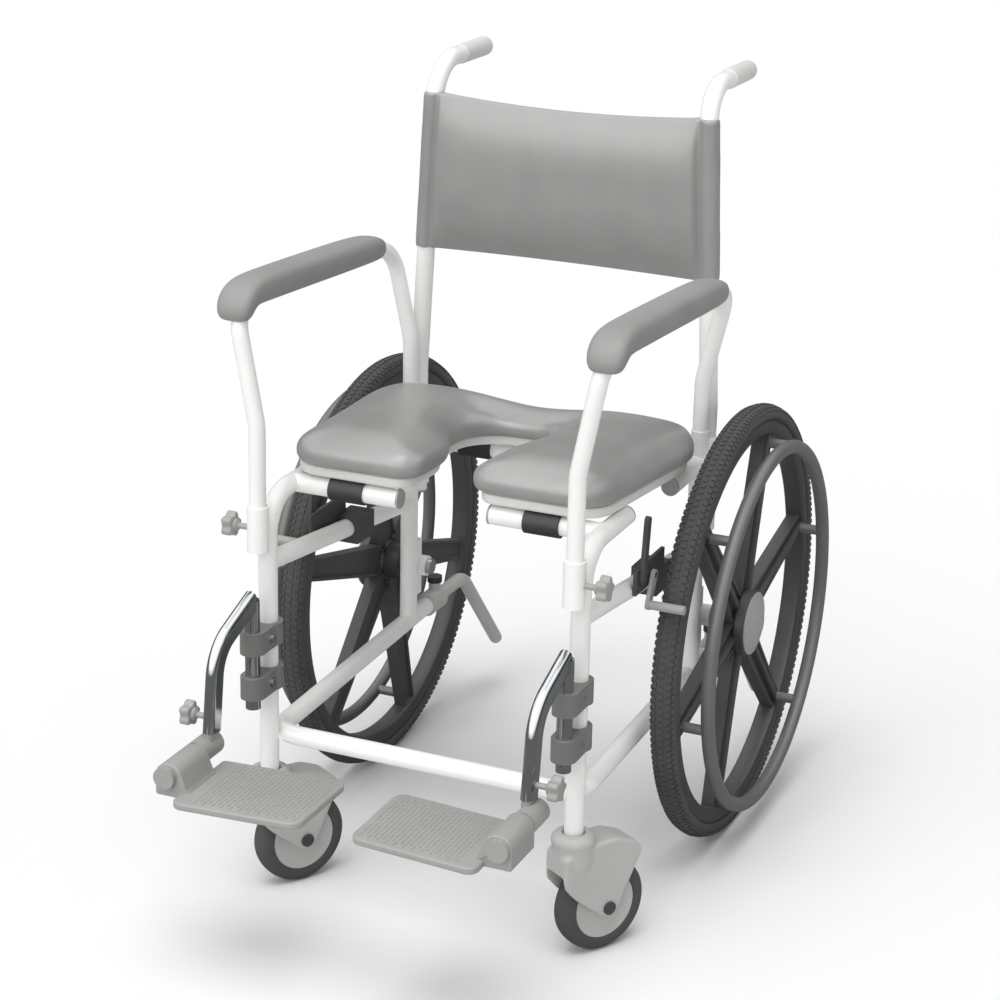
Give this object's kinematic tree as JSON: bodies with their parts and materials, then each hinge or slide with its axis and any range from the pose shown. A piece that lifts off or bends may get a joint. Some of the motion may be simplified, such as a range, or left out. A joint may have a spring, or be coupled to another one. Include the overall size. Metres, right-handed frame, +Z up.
{
  "type": "shower_commode_chair",
  "caption": "Self-propelled shower commode chair with a horseshoe seat, large push-rim wheels, front casters, swing-away footrests and lift-off armrests",
  "frame": {"origin": "Middle of the footprint, on the floor", "axes": "+X to the sitter's left, +Y to the rear, +Z up"},
  "size_m": [0.655, 1.0425, 1.0557],
  "materials": {
    "white_coat": "satin",
    "grey_vinyl": "satin",
    "grey_foam": "matte",
    "grey_plastic": "matte",
    "pale_plastic": "matte",
    "charcoal_plastic": "satin",
    "dark_rim": "satin",
    "tyre_rubber": "matte",
    "black_rubber": "matte",
    "chrome_plate": "polished",
    "bright_steel": "satin"
  },
  "bodies": {
    "frame": {"base_tube": "white_coat", "left_side_frame": "white_coat", "right_side_frame": "white_coat", "rear_cross_tube": "white_coat", "left_back_post": "white_coat", "right_back_post": "white_coat", "tube_end_caps": "grey_plastic", "seat_sleeves": "black_rubber", "push_grips": "pale_plastic", "backrest_cover": "grey_vinyl", "wheel_axles": "bright_steel", "wheel_bearings": "bright_steel", "axle_brackets": "white_coat", "caster_stems": "bright_steel", "brake_brackets": "charcoal_plastic", "hanger_clamps": "grey_plastic", "clamp_screws": "bright_steel", "anti_tip_brackets": "pale_plastic"},
    "seat": {"seat_board": "pale_plastic", "seat_cushion": "grey_vinyl"},
    "left_rear_wheel": {"left_mag_wheel": "charcoal_plastic", "left_tyre": "tyre_rubber", "left_push_rim": "dark_rim", "left_hub_cap": "pale_plastic"},
    "left_caster": {"left_caster_housing": "pale_plastic", "left_caster_axle": "charcoal_plastic"},
    "left_caster_roller": {"left_caster_wheel": "pale_plastic", "left_caster_tyre": "tyre_rubber"},
    "left_armrest": {"left_armrest_tube": "white_coat", "left_armrest_pad": "grey_foam"},
    "left_arm_knob": {"left_armrest_knob": "grey_plastic"},
    "left_lever": {"left_brake_lever": "charcoal_plastic"},
    "left_shoe": {"left_brake_shoe": "grey_plastic"},
    "left_hanger": {"left_footrest_hanger": "chrome_plate"},
    "left_foot_knob": {"left_footrest_knob": "grey_plastic"},
    "left_extension": {"left_footrest_extension": "grey_plastic", "left_footplate_pin": "grey_plastic"},
    "left_plate": {"left_footplate": "grey_plastic"},
    "left_anti_tip": {"left_anti_tip_tube": "pale_plastic"},
    "left_tip_knob": {"left_anti_tip_knob": "black_rubber"},
    "right_rear_wheel": {"right_mag_wheel": "charcoal_plastic", "right_tyre": "tyre_rubber", "right_push_rim": "dark_rim", "right_hub_cap": "pale_plastic"},
    "right_caster": {"right_caster_housing": "pale_plastic", "right_caster_axle": "charcoal_plastic"},
    "right_caster_roller": {"right_caster_wheel": "pale_plastic", "right_caster_tyre": "tyre_rubber"},
    "right_armrest": {"right_armrest_tube": "white_coat", "right_armrest_pad": "grey_foam"},
    "right_arm_knob": {"right_armrest_knob": "grey_plastic"},
    "right_lever": {"right_brake_lever": "charcoal_plastic"},
    "right_shoe": {"right_brake_shoe": "grey_plastic"},
    "right_hanger": {"right_footrest_hanger": "chrome_plate"},
    "right_foot_knob": {"right_footrest_knob": "grey_plastic"},
    "right_extension": {"right_footrest_extension": "grey_plastic", "right_footplate_pin": "grey_plastic"},
    "right_plate": {"right_footplate": "grey_plastic"},
    "right_anti_tip": {"right_anti_tip_tube": "pale_plastic"},
    "right_tip_knob": {"right_anti_tip_knob": "black_rubber"}
  },
  "joints": [
    {"name": "seat_lift", "type": "slide", "parent": "frame", "child": "seat", "axis": [0, 0, 1], "range_m": [0, 0.1]},
    {"name": "left_wheel_spin", "type": "hinge", "parent": "frame", "child": "left_rear_wheel", "pos_m": [0.271, 0.211, 0.305], "axis": [1, 0, 0], "continuous": true},
    {"name": "left_caster_swivel", "type": "hinge", "parent": "frame", "child": "left_caster", "pos_m": [0.217, -0.247, 0.14], "axis": [0, 0, 1], "continuous": true},
    {"name": "left_caster_roll", "type": "hinge", "parent": "left_caster", "child": "left_caster_roller", "pos_m": [0.23979, -0.21053, 0.064], "axis": [0.848, -0.5299, 0], "continuous": true},
    {"name": "left_armrest_lift", "type": "slide", "parent": "frame", "child": "left_armrest", "axis": [0, 0, 1], "range_m": [0, 0.05]},
    {"name": "left_arm_knob_turn", "type": "hinge", "parent": "frame", "child": "left_arm_knob", "pos_m": [0.25, -0.2725, 0.517], "axis": [1, 0, 0], "continuous": true},
    {"name": "left_brake_lever_turn", "type": "hinge", "parent": "frame", "child": "left_lever", "pos_m": [0.238, -0.088, 0.462], "axis": [1, 0, 0], "range_deg": [0, 42]},
    {"name": "left_brake_shoe_turn", "type": "hinge", "parent": "frame", "child": "left_shoe", "pos_m": [0.244, -0.062, 0.462], "axis": [1, 0, 0], "range_deg": [0, 6]},
    {"name": "left_footrest_swing", "type": "hinge", "parent": "frame", "child": "left_hanger", "pos_m": [0.217, -0.29, 0.337], "axis": [0, 0, 1], "range_deg": [0, 90]},
    {"name": "left_foot_knob_turn", "type": "hinge", "parent": "left_hanger", "child": "left_foot_knob", "pos_m": [0.24, -0.39558, 0.304], "axis": [1, 0, 0], "continuous": true},
    {"name": "left_footplate_height", "type": "slide", "parent": "left_hanger", "child": "left_extension", "axis": [0, -0.1334, -0.9911], "range_m": [0, 0.04]},
    {"name": "left_footplate_flip", "type": "hinge", "parent": "left_extension", "child": "left_plate", "pos_m": [0.223, -0.46, 0.266], "axis": [0, 1, 0], "range_deg": [0, 90]},
    {"name": "left_anti_tip_turn", "type": "hinge", "parent": "frame", "child": "left_anti_tip", "pos_m": [0.217, 0.28, 0.232], "axis": [0, 1, 0], "range_deg": [0, 180]},
    {"name": "left_tip_knob_pull", "type": "slide", "parent": "frame", "child": "left_tip_knob", "axis": [0, 0, 1], "range_m": [0, 0.006], "stiffness_N_per_m": 400},
    {"name": "right_wheel_spin", "type": "hinge", "parent": "frame", "child": "right_rear_wheel", "pos_m": [-0.271, 0.211, 0.305], "axis": [1, 0, 0], "continuous": true},
    {"name": "right_caster_swivel", "type": "hinge", "parent": "frame", "child": "right_caster", "pos_m": [-0.217, -0.247, 0.14], "axis": [0, 0, 1], "continuous": true},
    {"name": "right_caster_roll", "type": "hinge", "parent": "right_caster", "child": "right_caster_roller", "pos_m": [-0.19421, -0.21053, 0.064], "axis": [0.848, -0.5299, 0], "continuous": true},
    {"name": "right_armrest_lift", "type": "slide", "parent": "frame", "child": "right_armrest", "axis": [0, 0, 1], "range_m": [0, 0.05]},
    {"name": "right_arm_knob_turn", "type": "hinge", "parent": "frame", "child": "right_arm_knob", "pos_m": [-0.25, -0.2725, 0.517], "axis": [1, 0, 0], "continuous": true},
    {"name": "right_brake_lever_turn", "type": "hinge", "parent": "frame", "child": "right_lever", "pos_m": [-0.238, -0.088, 0.462], "axis": [1, 0, 0], "range_deg": [0, 42]},
    {"name": "right_brake_shoe_turn", "type": "hinge", "parent": "frame", "child": "right_shoe", "pos_m": [-0.244, -0.062, 0.462], "axis": [1, 0, 0], "range_deg": [0, 6]},
    {"name": "right_footrest_swing", "type": "hinge", "parent": "frame", "child": "right_hanger", "pos_m": [-0.217, -0.29, 0.337], "axis": [0, 0, -1], "range_deg": [0, 90]},
    {"name": "right_foot_knob_turn", "type": "hinge", "parent": "right_hanger", "child": "right_foot_knob", "pos_m": [-0.24, -0.39558, 0.304], "axis": [1, 0, 0], "continuous": true},
    {"name": "right_footplate_height", "type": "slide", "parent": "right_hanger", "child": "right_extension", "axis": [0, -0.1334, -0.9911], "range_m": [0, 0.04]},
    {"name": "right_footplate_flip", "type": "hinge", "parent": "right_extension", "child": "right_plate", "pos_m": [-0.223, -0.46, 0.266], "axis": [0, -1, 0], "range_deg": [0, 90]},
    {"name": "right_anti_tip_turn", "type": "hinge", "parent": "frame", "child": "right_anti_tip", "pos_m": [-0.217, 0.28, 0.232], "axis": [0, -1, 0], "range_deg": [0, 180]},
    {"name": "right_tip_knob_pull", "type": "slide", "parent": "frame", "child": "right_tip_knob", "axis": [0, 0, 1], "range_m": [0, 0.006], "stiffness_N_per_m": 400}
  ],
  "couplings": [
    {"joint": "left_brake_shoe_turn", "follows": "left_brake_lever_turn", "ratio": 0.14286},
    {"joint": "right_brake_shoe_turn", "follows": "right_brake_lever_turn", "ratio": 0.14286}
  ]
}
